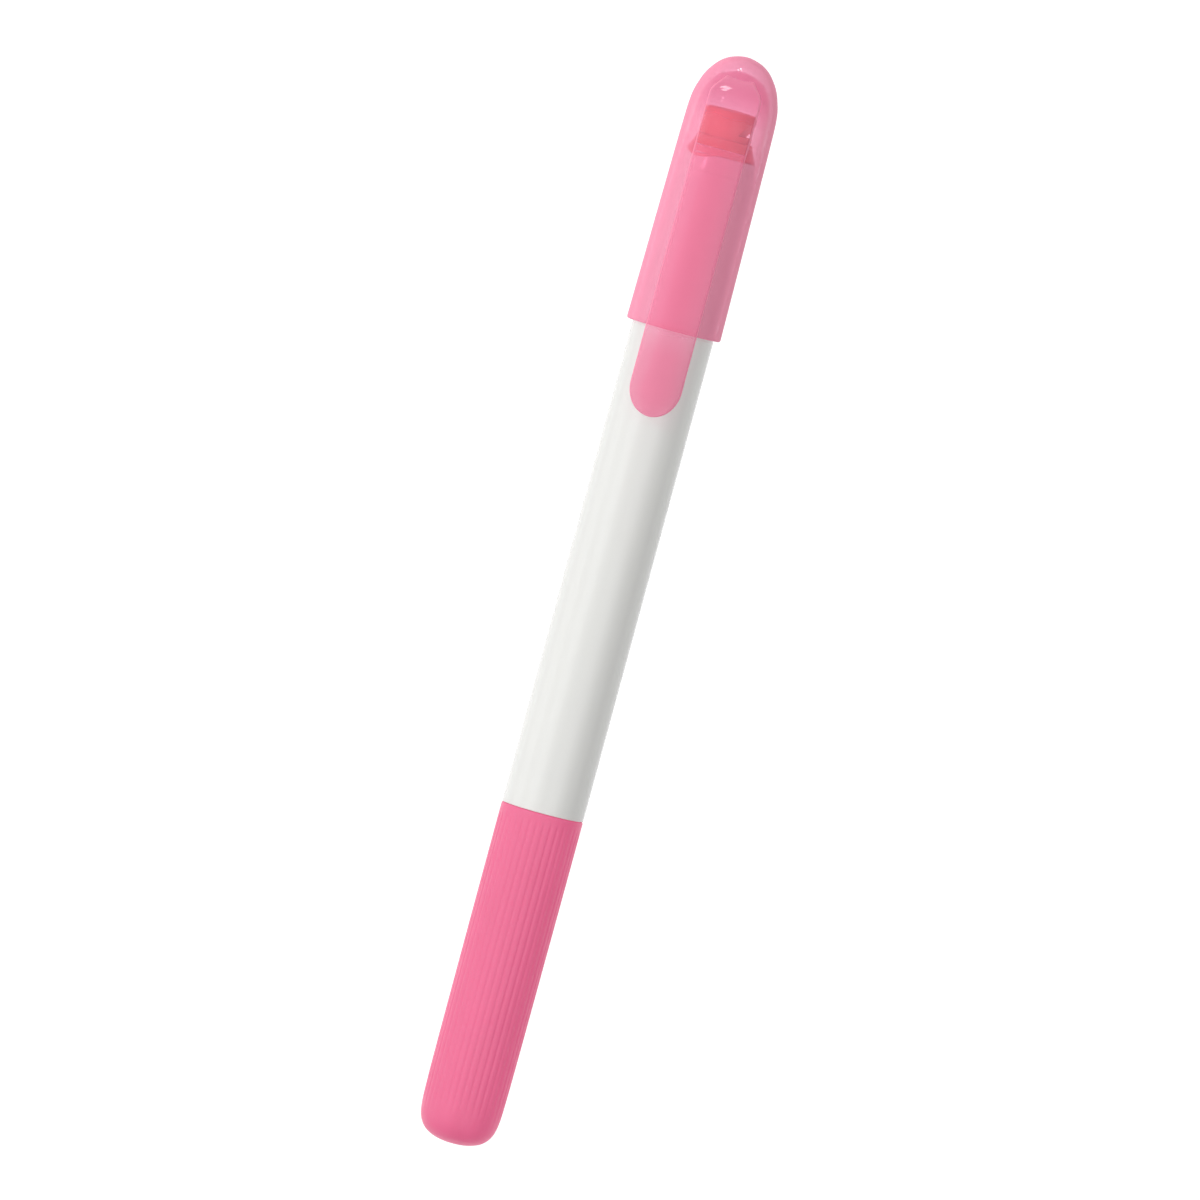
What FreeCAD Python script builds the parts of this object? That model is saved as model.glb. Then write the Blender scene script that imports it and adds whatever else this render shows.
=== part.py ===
# Twist-up gel-wax highlighter: capped, with a pocket clip moulded on the cap.
# Millimetres.  The pen lies along X, cap end towards +X, clip on top (+Z).
# "s" is the distance along the pen from the closed end of the twist grip;
# every turned piece is drawn as a half profile of (s, radius) points and
# revolved about the pen's axis, then placed so that the origin is under the
# middle of the pen, on the plane that the cap lip touches.
import os
import math
import FreeCAD, Part
from FreeCAD import Vector

# ---------------------------------------------------------------- dimensions
LENGTH = 139.7            # overall, 5.5 in
AXIS_Z = 6.0              # height of the pen's axis over the origin plane

GRIP_LEN = 42.75          # twist grip, closed end to parting line
GRIP_R = 5.22             # over the flute crests
GRIP_BORE_R = 4.0
FLUTES = 36
FLUTE_DEPTH = 0.18
FLUTE_TOOL_R = 0.55
FLUTE_START = 9.0
FLUTE_END = 42.0          # the flutes stop short of a smooth ring
RING_FROM = 42.2          # the ring is drawn in very slightly at the parting line

BARREL_BACK = 42.87
BARREL_R = 5.20           # exposed round barrel, the mounting diameter
BARREL_SEAT = 104.4       # the barrel steps down under the cap from here
BARREL_SEAT_R = 5.15
BARREL_FRONT_R = 5.0      # at the shoulder of the nose
NOSE_SHOULDER = 124.6
NOSE_END = 127.0
NOSE_R = 4.5
BARREL_BORE_R = 4.35
NOSE_BORE_R = 4.05
NOSE_BORE_FROM = 118.15

CAP_LIP = 104.7           # open edge of the cap
CAP_LIP_R = 6.0
CAP_BORE_LIP_R = 5.24
CAP_STOP = 124.95         # the bore narrows in front of the barrel's shoulder
CAP_STEP = 128.9          # ledge between bore and dome cavity
CAP_CAVITY_R = 4.70
CAP_CAVITY_TOP = 137.85

CLIP_W = 6.55
CLIP_TIP = 93.8
CLIP_TIP_L = 3.9          # length of the half-elliptical end
CLIP_TOP_R = 8.45         # outer face, from the pen's axis
CLIP_UNDER_R = 7.10       # inner face
CLIP_CROWN_R = 13.0       # curvature of the outer face across the clip
CLIP_BUMP_R = 6.05        # lowest point of the bead under the tip
CLIP_BUMP_S = 97.3
ROOT_BACK = 128.0         # the root post runs from here to the dome
ROOT_SPLIT_R = 6.15       # the clip flexes above this plane
ROOT_SPLIT_S = 134.1      # and behind this one
ROOT_GAP = 0.15

LEAD = 4.0                # screw lead, left-hand, two starts
STARTS = 2
SCREW_CORE_R = 1.30
SCREW_CREST_R = 1.90
THREAD_FROM = 53.6
THREAD_TO = 89.0
SCREW_END = 90.0
THREAD_ROOT_W = 0.95      # ridge width at the core
THREAD_TIP_W = 0.50       # ridge width at the crest
THREAD_PLAY = 0.14        # nut clearance round the ridge

SLEEVE_FROM, SLEEVE_TO = 53.4, 118.1
SLEEVE_BORE_R = 3.70
KEY_W = 1.60
KEY_R = 3.95
KEYWAY_W = 1.96
KEYWAY_R = 4.12

NUT_BACK, NUT_FRONT = 60.5, 65.0
NUT_SPIGOT = 67.5
NUT_R = 3.40
HOLDER_R = 2.90
HOLDER_BORE_R = 2.15
SPIGOT_R = 2.75
HEAD_FROM, HEAD_TO = 100.2, 102.0
POST_R, POST_TO = 1.40, 107.0

STICK_R = 3.20
STICK_TOP = 132.6
COLLAR_BORE_R = 3.38
COLLAR_TOP = 129.2

NECK_R = 4.25
NECK_TO = 50.0
BEAD_R, BEAD_S = 4.52, 47.7
GROOVE_R = 4.66
RING_S, RING_WIRE_R = 45.3, 0.50
SHANK_R = 1.60

os.makedirs("parts", exist_ok=True)
PLACE = Vector(-LENGTH / 2.0, 0.0, AXIS_Z)


# ------------------------------------------------------------------- helpers
def P(s, r):
    return Vector(s, 0.0, r)


def line(a, b):
    return Part.LineSegment(P(*a), P(*b)).toShape()


def arc(a, m, b):
    return Part.Arc(P(*a), P(*m), P(*b)).toShape()


def spline(points, t0=None, t1=None):
    """A smooth curve through (s, r) points, with optional end directions."""
    curve = Part.BSplineCurve()
    args = {"Points": [P(*p) for p in points]}
    if t0 is not None and t1 is not None:
        args["InitialTangent"] = P(*t0)
        args["FinalTangent"] = P(*t1)
    curve.interpolate(**args)
    return curve.toShape()


def revolve(edges):
    wire = Part.Wire(Part.__sortEdges__(edges))
    return Part.Face(wire).revolve(Vector(0, 0, 0), Vector(1, 0, 0), 360.0)


def turned(points):
    """Revolve a closed polygon of (s, r) points about the pen's axis."""
    edges = [line(points[i], points[(i + 1) % len(points)]) for i in range(len(points))]
    return revolve(edges)


def rod(s0, s1, r, y=0.0, z=0.0):
    return Part.makeCylinder(r, s1 - s0, Vector(s0, y, z), Vector(1, 0, 0))


def block(s0, s1, y0, y1, z0, z1):
    return Part.makeBox(s1 - s0, y1 - y0, z1 - z0, Vector(s0, y0, z0))


def one(shape):
    """The single solid of a boolean result."""
    shape = shape.removeSplitter()
    solids = shape.Solids
    assert len(solids) == 1, "expected one solid, got %d" % len(solids)
    return solids[0]


def save(name, shape):
    shape = shape.copy()
    shape.translate(PLACE)
    assert shape.isValid(), name + " is not valid"
    shape.exportStep("parts/%s.step" % name)
    b = shape.BoundBox
    print("%-13s vol %8.2f mm3   x %7.2f..%7.2f   y %5.2f..%5.2f   z %5.2f..%5.2f"
          % (name, shape.Volume, b.XMin, b.XMax, b.YMin, b.YMax, b.ZMin, b.ZMax))


def ridges(s0, s1, core_r, crest_r, root_w, tip_w):
    """Left-hand helical ridges, one per start, between s0 and s1.  The ridge of
    the first start crosses the +Z side at s = THREAD_FROM - LEAD + k * LEAD."""
    base = THREAD_FROM - LEAD
    turns = math.ceil((s1 - base) / LEAD) + 1
    skip = math.floor((s0 - base) / LEAD) - 1
    start = base + skip * LEAD
    height = (turns - skip) * LEAD
    sink = 0.25
    # ridge section, drawn with its middle line at the helix start
    k = (root_w - tip_w) / 2.0 / (crest_r - core_r)
    low = core_r - sink
    half_low = root_w / 2.0 + k * sink
    out = None
    for i in range(STARTS):
        helix = Part.makeHelix(LEAD, height, (core_r + crest_r) / 2.0, 0.0, True)
        pts = [Vector(low, 0, -half_low), Vector(crest_r, 0, -tip_w / 2.0),
               Vector(crest_r, 0, tip_w / 2.0), Vector(low, 0, half_low)]
        section = Part.makePolygon(pts + [pts[0]])
        ridge = Part.Wire(helix.Edges).makePipeShell([section], True, True)
        # the helix stands on Z: lay it along X, its start on the +Z side
        ridge.rotate(Vector(0, 0, 0), Vector(0, 1, 0), 90.0)
        ridge.rotate(Vector(0, 0, 0), Vector(1, 0, 0), 180.0 + 360.0 * i / STARTS)
        ridge.translate(Vector(start, 0, 0))
        ridge = ridge.common(rod(s0, s1, crest_r + 1.0))
        out = ridge if out is None else out.fuse(ridge)
    return out


# ------------------------------------------------------- turning grip (knob)
# Closed, rounded end; long shallow flutes; a smooth ring at the parting line.
outer = [(0.0, 0.0), (0.12, 1.35), (0.42, 2.72), (0.8, 3.52), (1.3, 4.1), (1.8, 4.45),
         (2.3, 4.67), (2.8, 4.82), (3.4, 4.94), (4.3, 5.04), (5.3, 5.09)]
grip = revolve([
    spline(outer, (0, 1), (1, 0.035)),
    line((5.3, 5.09), (FLUTE_START - 0.3, GRIP_R)),
    line((FLUTE_START - 0.3, GRIP_R), (RING_FROM, GRIP_R)),
    line((RING_FROM, GRIP_R), (GRIP_LEN - 0.2, GRIP_R - 0.01)),
    arc((GRIP_LEN - 0.2, GRIP_R - 0.01), (GRIP_LEN - 0.058, GRIP_R - 0.068), (GRIP_LEN, GRIP_R - 0.21)),
    line((GRIP_LEN, GRIP_R - 0.21), (GRIP_LEN, GRIP_BORE_R)),
    line((GRIP_LEN, GRIP_BORE_R), (4.2, GRIP_BORE_R - 0.12)),
    arc((4.2, GRIP_BORE_R - 0.12), (2.75, 3.25), (2.0, 1.8)),
    line((2.0, 1.8), (1.8, 0.0)),
    line((1.8, 0.0), (0.0, 0.0)),
])
tools = []
for i in range(FLUTES):
    t = rod(FLUTE_START, FLUTE_END, FLUTE_TOOL_R, 0.0, GRIP_R - FLUTE_DEPTH + FLUTE_TOOL_R)
    t.rotate(Vector(0, 0, 0), Vector(1, 0, 0), 360.0 * (i + 0.5) / FLUTES)
    tools.append(t)
grip = one(grip.cut(tools))
save("grip_shell", grip)

# --------------------------------------------------- core pressed in the grip
# Carries the screw, the drag ring and the snap bead that holds grip to barrel.
core = turned([
    (24.0, SHANK_R), (24.0, GRIP_BORE_R - 0.06), (24.8, GRIP_BORE_R - 0.06), (41.9, GRIP_BORE_R - 0.01),
    (42.4, GRIP_BORE_R - 0.01), (42.4, 3.9), (43.1, 3.9), (43.3, NECK_R),
    (RING_S - RING_WIRE_R - 0.04, NECK_R), (RING_S - RING_WIRE_R - 0.04, 3.33),
    (RING_S + RING_WIRE_R + 0.04, 3.33), (RING_S + RING_WIRE_R + 0.04, NECK_R),
    (BEAD_S - 0.62, NECK_R), (BEAD_S - 0.35, BEAD_R), (BEAD_S + 0.1, BEAD_R), (BEAD_S + 0.75, NECK_R - 0.02),
    (49.4, NECK_R - 0.08), (NECK_TO, NECK_R - 0.5), (NECK_TO, SHANK_R),
])
# flat in the bore that drives the screw's shank
flat = rod(24.0, NECK_TO, SHANK_R + 0.2).common(block(24.0, NECK_TO, -3, 3, 1.2, 3))
core = one(core.fuse(flat))
save("grip_core", core)

# drag ring: keeps the stick from winding back under writing pressure
ring = Part.makeTorus(3.33 + RING_WIRE_R, RING_WIRE_R, Vector(RING_S, 0, 0), Vector(1, 0, 0))
save("drag_ring", ring)

# --------------------------------------------------------------- lead screw
screw = turned([
    (30.0, 0.0), (30.0, SHANK_R - 0.3), (30.3, SHANK_R), (NECK_TO, SHANK_R),
    (NECK_TO, 2.6), (51.0, 2.6), (51.0, SCREW_CORE_R), (SCREW_END - 0.6, SCREW_CORE_R), (SCREW_END, 0.7), (SCREW_END, 0.0)])
screw = screw.cut(block(29.0, NECK_TO, -3, 3, 1.2, 3))
screw = one(screw.fuse(ridges(THREAD_FROM, THREAD_TO, SCREW_CORE_R, SCREW_CREST_R, THREAD_ROOT_W, THREAD_TIP_W)))
save("lead_screw", screw)

# --------------------------------------------------------------- thrust bush
bush = turned([(51.25, 2.1), (51.25, 3.9), (51.6, BARREL_BORE_R), (53.4, BARREL_BORE_R), (53.4, 2.3), (53.2, 2.1)])
save("thrust_bush", one(bush))

# --------------------------------------------------------------- barrel tube
barrel = revolve([
    line((BARREL_BACK, BARREL_BORE_R + 0.12), (BARREL_BACK, BARREL_R - 0.15)),
    arc((BARREL_BACK, BARREL_R - 0.15), (BARREL_BACK + 0.044, BARREL_R - 0.044), (BARREL_BACK + 0.15, BARREL_R)),
    line((BARREL_BACK + 0.15, BARREL_R), (BARREL_SEAT, BARREL_R)),
    line((BARREL_SEAT, BARREL_R), (BARREL_SEAT + 0.05, BARREL_SEAT_R)),
    line((BARREL_SEAT + 0.05, BARREL_SEAT_R), (NOSE_SHOULDER - 0.3, BARREL_FRONT_R)),
    arc((NOSE_SHOULDER - 0.3, BARREL_FRONT_R), (NOSE_SHOULDER, BARREL_FRONT_R - 0.06), (NOSE_SHOULDER + 0.25, BARREL_FRONT_R - 0.2)),
    line((NOSE_SHOULDER + 0.25, BARREL_FRONT_R - 0.2), (NOSE_END - 0.3, NOSE_R + 0.06)),
    arc((NOSE_END - 0.3, NOSE_R + 0.06), (NOSE_END - 0.08, NOSE_R - 0.04), (NOSE_END, NOSE_R - 0.2)),
    line((NOSE_END, NOSE_R - 0.2), (NOSE_END, NOSE_BORE_R)),
    line((NOSE_END, NOSE_BORE_R), (NOSE_BORE_FROM, NOSE_BORE_R)),
    line((NOSE_BORE_FROM, NOSE_BORE_R), (NOSE_BORE_FROM, BARREL_BORE_R)),
    line((NOSE_BORE_FROM, BARREL_BORE_R), (BEAD_S + 1.1, BARREL_BORE_R)),
    line((BEAD_S + 1.1, BARREL_BORE_R), (BEAD_S + 0.55, GROOVE_R)),
    line((BEAD_S + 0.55, GROOVE_R), (BEAD_S - 0.6, GROOVE_R)),
    line((BEAD_S - 0.6, GROOVE_R), (BEAD_S - 0.85, BARREL_BORE_R)),
    line((BEAD_S - 0.85, BARREL_BORE_R), (BARREL_BACK + 0.12, BARREL_BORE_R)),
    line((BARREL_BACK + 0.12, BARREL_BORE_R), (BARREL_BACK, BARREL_BORE_R + 0.12)),
])
save("barrel_tube", one(barrel))

# -------------------------------------------------------------- guide sleeve
sleeve = rod(SLEEVE_FROM, SLEEVE_TO, BARREL_BORE_R).cut(rod(SLEEVE_FROM - 1, SLEEVE_TO + 1, SLEEVE_BORE_R))
keyway = rod(SLEEVE_FROM - 1, SLEEVE_TO + 1, KEYWAY_R).common(
    block(SLEEVE_FROM - 1, SLEEVE_TO + 1, -KEYWAY_R, KEYWAY_R, -KEYWAY_W / 2, KEYWAY_W / 2))
save("guide_sleeve", one(sleeve.cut(keyway)))

# --------------------------------------------------------------- nose collar
# Coloured nozzle: its stem is pressed in the barrel and its flared head sits
# on the nose; the stick slides through it.
collar = revolve([
    line((118.15, COLLAR_BORE_R + 0.15), (118.15, NOSE_BORE_R)),
    line((118.15, NOSE_BORE_R), (NOSE_END, NOSE_BORE_R)),
    line((NOSE_END, NOSE_BORE_R), (NOSE_END, 4.30)),
    arc((NOSE_END, 4.30), (NOSE_END + 0.12, 4.34), (NOSE_END + 0.22, 4.28)),
    spline([(NOSE_END + 0.22, 4.28), (127.6, 4.08), (128.1, 3.86), (128.6, 3.68), (COLLAR_TOP - 0.1, 3.56)],
           (0.4, -0.2), (0.5, -0.08)),
    line((COLLAR_TOP - 0.1, 3.56), (COLLAR_TOP, 3.48)),
    line((COLLAR_TOP, 3.48), (COLLAR_TOP, COLLAR_BORE_R)),
    line((COLLAR_TOP, COLLAR_BORE_R), (118.3, COLLAR_BORE_R)),
    line((118.3, COLLAR_BORE_R), (118.15, COLLAR_BORE_R + 0.15)),
])
save("nose_collar", one(collar))

# ----------------------------------------------------------------- drive nut
nut = turned([(NUT_BACK, 0.0), (NUT_BACK, NUT_R), (NUT_FRONT, NUT_R), (NUT_FRONT, SPIGOT_R),
              (NUT_SPIGOT - 0.2, SPIGOT_R), (NUT_SPIGOT, SPIGOT_R - 0.2), (NUT_SPIGOT, 0.0)])
keys = rod(NUT_BACK, NUT_FRONT, KEY_R).common(
    block(NUT_BACK, NUT_FRONT, -KEY_R, KEY_R, -KEY_W / 2, KEY_W / 2))
nut = nut.fuse(keys)
bore = rod(NUT_BACK - 2, NUT_SPIGOT + 2, SCREW_CORE_R + THREAD_PLAY)
groove = ridges(NUT_BACK - 1, NUT_SPIGOT + 1, SCREW_CORE_R, SCREW_CREST_R + THREAD_PLAY,
                THREAD_ROOT_W + 2.2 * THREAD_PLAY, THREAD_TIP_W + 2.2 * THREAD_PLAY)
nut = one(nut.cut(bore.fuse(groove)))
save("drive_nut", nut)

# -------------------------------------------------------------- stick holder
# Push tube that clears the screw, a flat head behind the stick and a barbed
# post that the stick is cast on.
holder = turned([
    (NUT_FRONT, SPIGOT_R), (NUT_FRONT, 3.35), (NUT_SPIGOT + 0.6, 3.35), (NUT_SPIGOT + 1.6, HOLDER_R),
    (HEAD_FROM - 0.8, HOLDER_R), (HEAD_FROM, STICK_R), (HEAD_TO, STICK_R), (HEAD_TO, POST_R),
    (103.4, POST_R), (103.7, POST_R - 0.3), (105.0, POST_R), (105.3, POST_R - 0.3),
    (POST_TO - 0.3, POST_R - 0.1), (POST_TO, 0.8), (POST_TO, 0.0), (98.6, 0.0), (97.4, HOLDER_BORE_R),
    (NUT_SPIGOT, HOLDER_BORE_R), (NUT_SPIGOT, SPIGOT_R),
])
save("stick_holder", one(holder))

# ----------------------------------------------------------------- gel stick
stick = turned([
    (HEAD_TO, POST_R), (HEAD_TO, STICK_R), (STICK_TOP - 0.3, STICK_R), (STICK_TOP - 0.09, STICK_R - 0.09),
    (STICK_TOP, STICK_R - 0.3), (STICK_TOP, 0.0), (POST_TO, 0.0), (POST_TO, 0.8), (POST_TO - 0.3, POST_R - 0.1),
    (105.3, POST_R - 0.3), (105.0, POST_R), (103.7, POST_R - 0.3), (103.4, POST_R),
])
save("gel_stick", one(stick))

# ----------------------------------------------------------------- cap shell
cap_outer = [(128.0, 5.69), (130.5, 5.62), (132.0, 5.54), (133.0, 5.44), (134.0, 5.30), (135.0, 5.07), (136.0, 4.73), (137.0, 4.19),
             (138.0, 3.40), (138.6, 2.71), (139.1, 1.98), (139.5, 1.14), (LENGTH, 0.0)]
cap_inner = [(CAP_CAVITY_TOP, 0.0), (137.7, 1.2), (137.35, 2.1), (136.9, 2.83), (136.2, 3.46), (135.2, 4.0),
             (134.0, 4.36), (132.0, 4.6), (CAP_STEP, CAP_CAVITY_R)]
shell = revolve([
    arc((CAP_LIP, CAP_LIP_R - 0.32), (CAP_LIP + 0.1, CAP_LIP_R - 0.1), (CAP_LIP + 0.35, CAP_LIP_R)),
    line((CAP_LIP + 0.35, CAP_LIP_R), cap_outer[0]),
    spline(cap_outer, (1, -0.0135), (0, -1)),
    line((LENGTH, 0.0), (CAP_CAVITY_TOP, 0.0)),
    spline(cap_inner, (0, 1), (-1, 0.02)),
    line((CAP_STEP, CAP_CAVITY_R), (CAP_STEP - 0.15, 4.9)),
    line((CAP_STEP - 0.15, 4.9), (CAP_STOP + 0.3, 5.0)),
    line((CAP_STOP + 0.3, 5.0), (CAP_STOP, 5.09)),
    line((CAP_STOP, 5.09), (CAP_LIP + 0.35, CAP_BORE_LIP_R)),
    line((CAP_LIP + 0.35, CAP_BORE_LIP_R), (CAP_LIP, CAP_BORE_LIP_R + 0.2)),
    line((CAP_LIP, CAP_BORE_LIP_R + 0.2), (CAP_LIP, CAP_LIP_R - 0.32)),
])

# side outline of the clip with its root, in the plane of the pen's axis
T, U = CLIP_TOP_R, CLIP_UNDER_R
side = Part.Wire(Part.__sortEdges__([
    line((CLIP_TIP, U + 0.15), (CLIP_TIP, T - 0.55)),
    spline([(CLIP_TIP, T - 0.55), (95.0, T - 0.2), (98.0, T - 0.1), (106.0, T)], (0.6, 0.5), (1, 0)),
    line((106.0, T), (129.0, T)),
    spline([(129.0, T), (132.0, T - 0.35), (134.2, 7.15), (135.8, 5.72), (136.9, 4.28)], (1, 0), (0.62, -0.95)),
    line((136.9, 4.28), (133.6, 4.75)),
    line((133.6, 4.75), (ROOT_BACK, 5.2)),
    line((ROOT_BACK, 5.2), (ROOT_BACK, U - 0.9)),
    arc((ROOT_BACK, U - 0.9), (ROOT_BACK - 0.264, U - 0.264), (ROOT_BACK - 0.9, U)),
    line((ROOT_BACK - 0.9, U), (CLIP_BUMP_S + 2.6, U)),
    spline([(CLIP_BUMP_S + 2.6, U), (CLIP_BUMP_S + 1.3, U - 0.52), (CLIP_BUMP_S, CLIP_BUMP_R),
            (CLIP_BUMP_S - 1.3, U - 0.52), (CLIP_BUMP_S - 2.3, U - 0.05)], (-1, 0), (-1, 0.3)),
    line((CLIP_BUMP_S - 2.3, U - 0.05), (CLIP_TIP, U + 0.15)),
]))
clip = Part.Face(side).extrude(Vector(0, CLIP_W, 0))
clip.translate(Vector(0, -CLIP_W / 2.0, 0))
# half-elliptical end in plan, crowned outer face
ell = Part.Ellipse(Vector(CLIP_TIP + CLIP_TIP_L, 0, 0), CLIP_TIP_L, CLIP_W / 2.0)
h = CLIP_W / 2.0
end_arc = Part.Edge(ell, math.pi / 2.0, 3.0 * math.pi / 2.0)
x0 = CLIP_TIP + CLIP_TIP_L
plan = Part.Wire(Part.__sortEdges__([
    end_arc,
    Part.LineSegment(Vector(x0, -h, 0), Vector(139.0, -h, 0)).toShape(),
    Part.LineSegment(Vector(139.0, -h, 0), Vector(139.0, h, 0)).toShape(),
    Part.LineSegment(Vector(139.0, h, 0), Vector(x0, h, 0)).toShape()]))
plan = Part.Face(plan).extrude(Vector(0, 0, 12))
clip = clip.common(plan)
clip = clip.common(rod(CLIP_TIP - 1, 139.0, CLIP_CROWN_R, 0, T - CLIP_CROWN_R))

split = block(CLIP_TIP - 1, ROOT_SPLIT_S, -5, 5, ROOT_SPLIT_R, 12)
wide = block(CLIP_TIP - 1, ROOT_SPLIT_S + ROOT_GAP + 0.1, -5, 5, ROOT_SPLIT_R - ROOT_GAP, 12)
spring_arm = one(clip.common(split.fuse(block(CLIP_TIP - 1, ROOT_BACK - 1.0, -5, 5, 5.9, 12))))
cavity = revolve([
    line((LENGTH + 1, 0.0), (100.0, 0.0)),
    line((100.0, 0.0), (100.0, 5.5)),
    line((100.0, 5.5), (128.0, 5.5)),
    line((128.0, 5.5), (133.6, 5.0)),
    line((133.6, 5.0), (136.0, 4.1)),
    line((136.0, 4.1), (137.2, 3.3)),
    line((137.2, 3.3), (LENGTH + 1, 3.3)),
    line((LENGTH + 1, 3.3), (LENGTH + 1, 0.0)),
])
root = clip.cut(wide).cut(cavity).common(block(ROOT_BACK - 0.5, 139.0, -5, 5, 0, 12))
save("cap_shell", one(shell.fuse(root)))
save("pocket_clip", spring_arm)
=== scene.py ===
import math

import bmesh
import bpy
import numpy as np
from mathutils import Matrix, Vector


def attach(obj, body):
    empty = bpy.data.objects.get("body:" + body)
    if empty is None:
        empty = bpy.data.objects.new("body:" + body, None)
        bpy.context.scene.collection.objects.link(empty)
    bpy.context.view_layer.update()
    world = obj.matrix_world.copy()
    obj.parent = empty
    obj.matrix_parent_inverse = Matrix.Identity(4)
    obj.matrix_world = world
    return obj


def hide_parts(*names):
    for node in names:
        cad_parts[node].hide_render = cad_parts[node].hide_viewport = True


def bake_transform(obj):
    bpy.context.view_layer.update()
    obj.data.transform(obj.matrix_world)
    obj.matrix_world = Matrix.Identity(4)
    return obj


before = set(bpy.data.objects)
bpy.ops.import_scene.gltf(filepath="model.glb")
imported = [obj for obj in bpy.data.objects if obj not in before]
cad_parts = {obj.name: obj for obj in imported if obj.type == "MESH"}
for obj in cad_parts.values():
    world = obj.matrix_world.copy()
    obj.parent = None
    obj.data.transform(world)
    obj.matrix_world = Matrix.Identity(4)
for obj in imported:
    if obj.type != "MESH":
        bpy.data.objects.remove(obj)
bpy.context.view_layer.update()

# ------------------------------------------------------------------ measures
# Millimetres: s runs along the pen from the closed end of the grip, y across,
# z up from the pen's axis.  Everything is turned into row metres at the end.
HALF = 69.85
AXIS_Z = 6.0
TAU = 2.0 * math.pi


def row(s, y, z):
    return ((s - HALF) * 0.001, y * 0.001, (z + AXIS_Z) * 0.001)


# ------------------------------------------------------------------- helpers
def curve_points(points, step=0.12):
    """Centripetal Catmull-Rom through (s, r) points, evenly resampled."""
    p = [np.array(q, float) for q in points]
    p = [2 * p[0] - p[1]] + p + [2 * p[-1] - p[-2]]
    out = []
    for i in range(1, len(p) - 2):
        p0, p1, p2, p3 = p[i - 1:i + 3]
        t0 = 0.0
        t1 = t0 + max(np.linalg.norm(p1 - p0), 1e-6) ** 0.5
        t2 = t1 + max(np.linalg.norm(p2 - p1), 1e-6) ** 0.5
        t3 = t2 + max(np.linalg.norm(p3 - p2), 1e-6) ** 0.5
        n = max(2, int(math.ceil(np.linalg.norm(p2 - p1) / step)))
        for k in range(n):
            t = t1 + (t2 - t1) * k / n
            a1 = (t1 - t) / (t1 - t0) * p0 + (t - t0) / (t1 - t0) * p1
            a2 = (t2 - t) / (t2 - t1) * p1 + (t - t1) / (t2 - t1) * p2
            a3 = (t3 - t) / (t3 - t2) * p2 + (t - t2) / (t3 - t2) * p3
            b1 = (t2 - t) / (t2 - t0) * a1 + (t - t0) / (t2 - t0) * a2
            b2 = (t3 - t) / (t3 - t1) * a2 + (t - t1) / (t3 - t1) * a3
            out.append(tuple((t2 - t) / (t2 - t1) * b1 + (t - t1) / (t2 - t1) * b2))
    out.append(tuple(p[-2]))
    return [(a, max(0.0, b)) for a, b in out]


def straight(a, b, step):
    """Points on the line from a up to but not including b."""
    n = max(1, int(math.ceil(math.dist(a, b) / step)))
    return [(a[0] + (b[0] - a[0]) * k / n, a[1] + (b[1] - a[1]) * k / n) for k in range(n)]


def corner(a, c, b, n=5):
    """Points that round a corner c between a and b (a quadratic arc)."""
    out = []
    for k in range(n + 1):
        t = k / n
        out.append(tuple((1 - t) ** 2 * a[i] + 2 * t * (1 - t) * c[i] + t * t * b[i] for i in (0, 1)))
    return out


def clean(points):
    out = []
    for p in points:
        if not out or math.dist(p, out[-1]) > 1e-5:
            out.append(p)
    return out


def mesh_object(name, verts, faces, sharp=35.0):
    mesh = bpy.data.meshes.new(name)
    mesh.from_pydata([row(*v) for v in verts], [], faces)
    bm = bmesh.new()
    bm.from_mesh(mesh)
    bmesh.ops.remove_doubles(bm, verts=bm.verts, dist=2e-8)
    bmesh.ops.recalc_face_normals(bm, faces=bm.faces)
    bm.to_mesh(mesh)
    bm.free()
    finish_mesh(mesh, sharp)
    obj = bpy.data.objects.new(name, mesh)
    bpy.context.scene.collection.objects.link(obj)
    return obj


def finish_mesh(mesh, sharp):
    mesh.shade_smooth()
    mesh.set_sharp_from_angle(angle=math.radians(sharp))
    mesh.update()


def lathe(name, profile, n=192, warp=None, closed=True, sharp=35.0):
    """A closed solid of revolution.  profile is a list of (s, r); an open
    profile starts and ends on the axis, a closed one is a ring section.
    warp(s, r, a) may move a point and returns a new (s, r)."""
    profile = clean(profile)
    verts, rings = [], []
    for s, r in profile:
        if r < 1e-6:
            rings.append([len(verts)])
            verts.append((s, 0.0, 0.0))
            continue
        ring = []
        for j in range(n):
            a = TAU * j / n
            s2, r2 = warp(s, r, a) if warp else (s, r)
            ring.append(len(verts))
            verts.append((s2, r2 * math.cos(a), r2 * math.sin(a)))
        rings.append(ring)
    faces = []
    pairs = list(zip(rings, rings[1:]))
    if not closed:
        pairs.append((rings[-1], rings[0]))
    for a, b in pairs:
        for j in range(n):
            k = (j + 1) % n
            if len(a) == 1 and len(b) == 1:
                continue
            if len(a) == 1:
                faces.append((a[0], b[j], b[k]))
            elif len(b) == 1:
                faces.append((a[j], a[k], b[0]))
            else:
                faces.append((a[j], a[k], b[k], b[j]))
    return mesh_object(name, verts, faces, sharp)


def lerp_table(table, x):
    return float(np.interp(x, [p[0] for p in table], [p[1] for p in table]))


def smooth(x, a, b):
    t = min(1.0, max(0.0, (x - a) / (b - a)))
    return t * t * (3 - 2 * t)


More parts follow.
